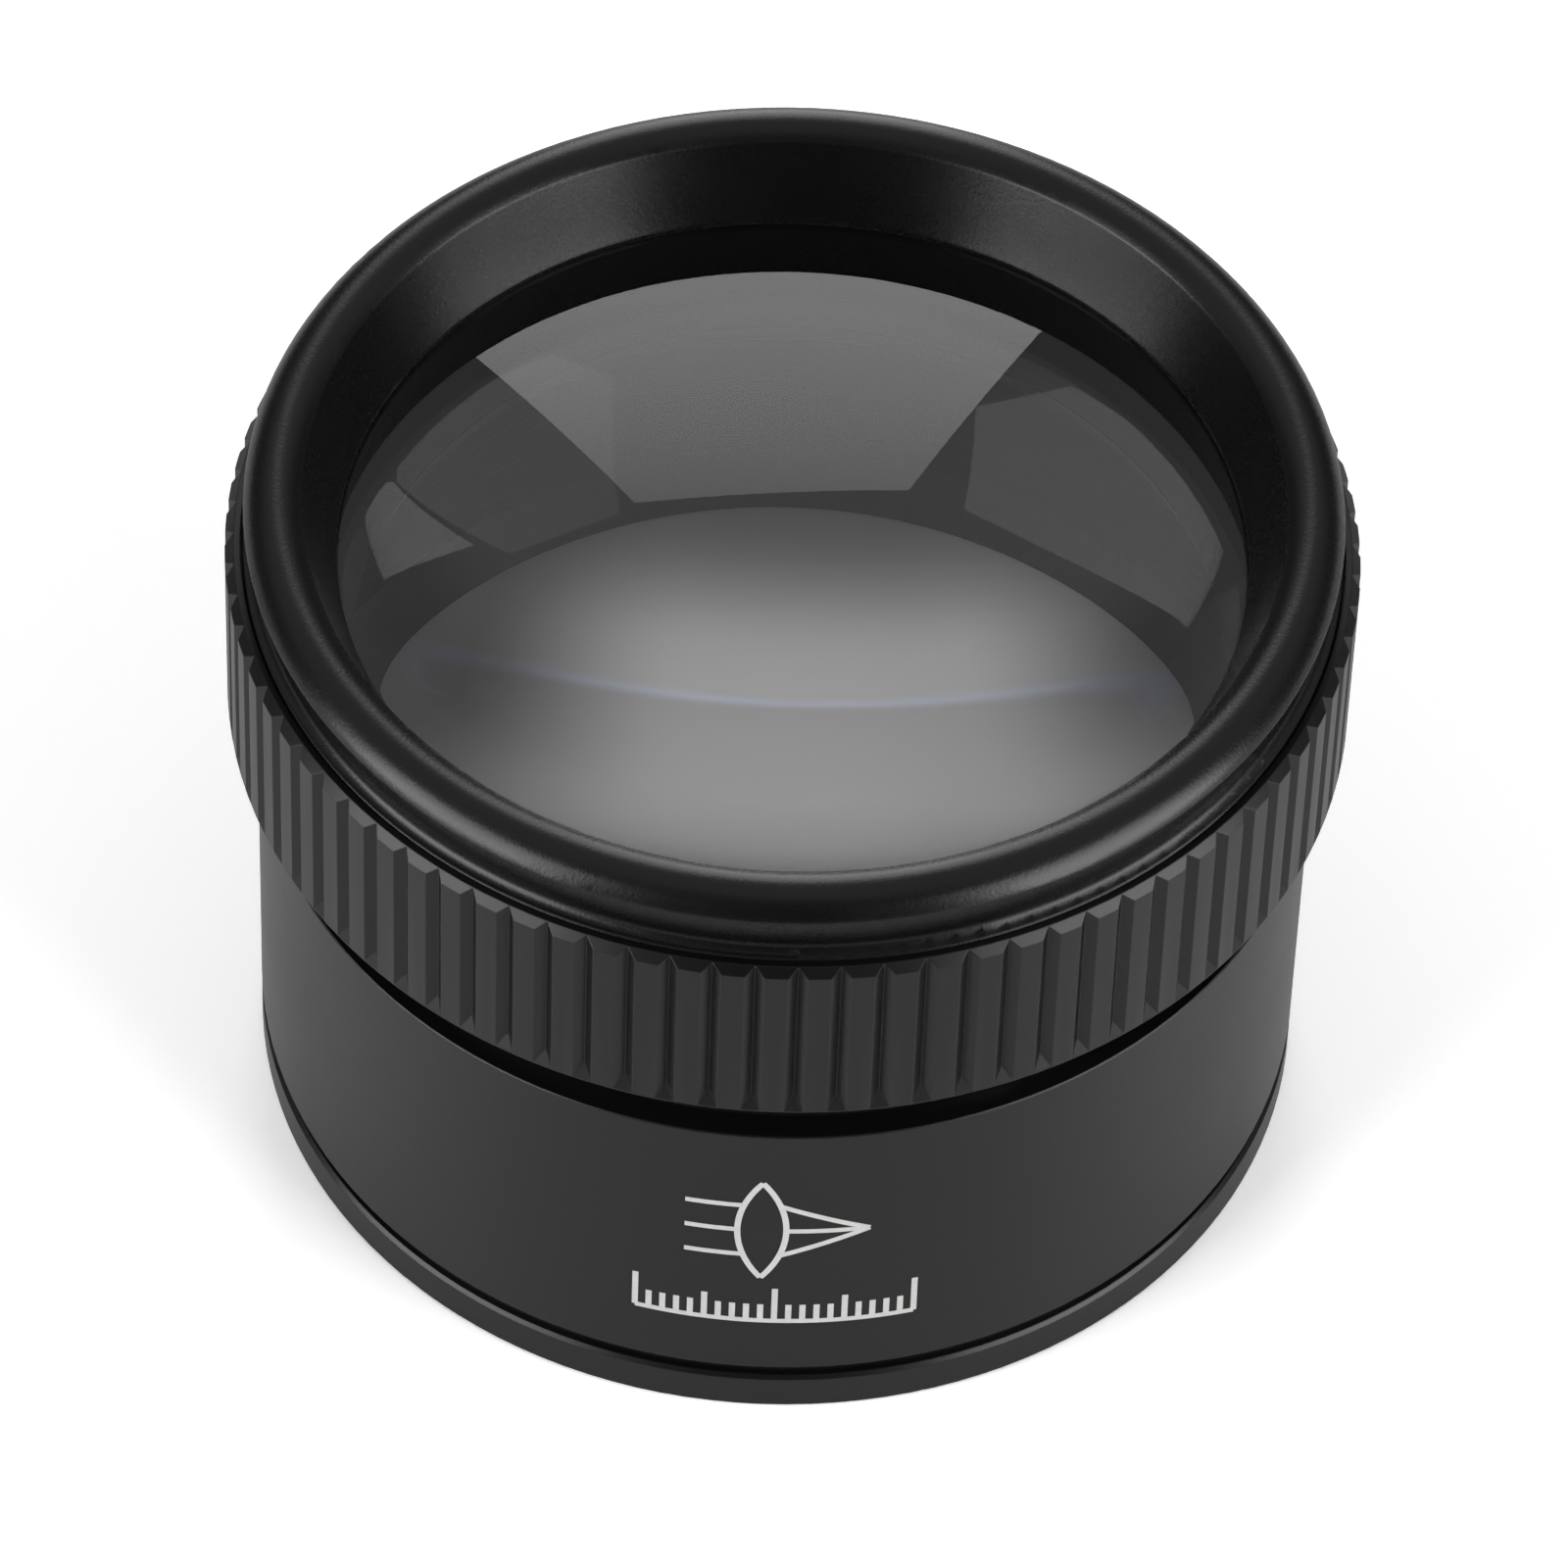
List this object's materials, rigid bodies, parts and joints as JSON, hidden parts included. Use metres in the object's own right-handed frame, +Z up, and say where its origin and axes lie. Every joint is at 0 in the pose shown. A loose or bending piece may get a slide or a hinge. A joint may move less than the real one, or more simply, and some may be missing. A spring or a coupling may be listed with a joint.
{
  "type": "viewing loupe",
  "caption": "Focusing stand loupe: a ribbed ring moves a round magnifier lens up and down on a black tubular barrel that rests on a print or film.",
  "frame": {"origin": "on the optical axis, in the plane that the base rests on", "axes": "+Z up along the optical axis, towards the eye; the printed mark on the barrel faces -Y; +X to the right of it"},
  "size_m": [0.044, 0.044, 0.0308],
  "materials": {
    "black_anodised": "fine bead-blasted satin, black anodised",
    "blackened_metal": "matte black",
    "lens_glass": "polished, coated",
    "black_rubber": "matte",
    "washer_brass": "polished",
    "screw_steel": "turned"
  },
  "bodies": {
    "barrel": {"barrel": "black_anodised", "base_ring": "black_anodised", "baffle_sleeve": "blackened_metal"},
    "carriage": {"eyepiece_bezel": "black_anodised", "magnifier_lens": "lens_glass", "lens_gasket": "black_rubber", "lens_retaining_ring": "blackened_metal", "lens_cell": "blackened_metal", "slip_washer": "washer_brass", "guide_screws": "screw_steel"},
    "focus_ring": {"focus_ring": "black_anodised"}
  },
  "joints": [
    {"name": "focus_lift", "type": "slide", "parent": "barrel", "child": "carriage", "axis": [0, 0, 1], "range_m": [-0.0026, 0.002]},
    {"name": "focus_turn", "type": "hinge", "parent": "carriage", "child": "focus_ring", "pos_m": [0, 0, 0.0238], "axis": [0, 0, 1], "range_deg": [-157, 121]}
  ],
  "couplings": [
    {"joint": "focus_turn", "follows": "focus_lift", "rad_per_m": 1047.2}
  ]
}
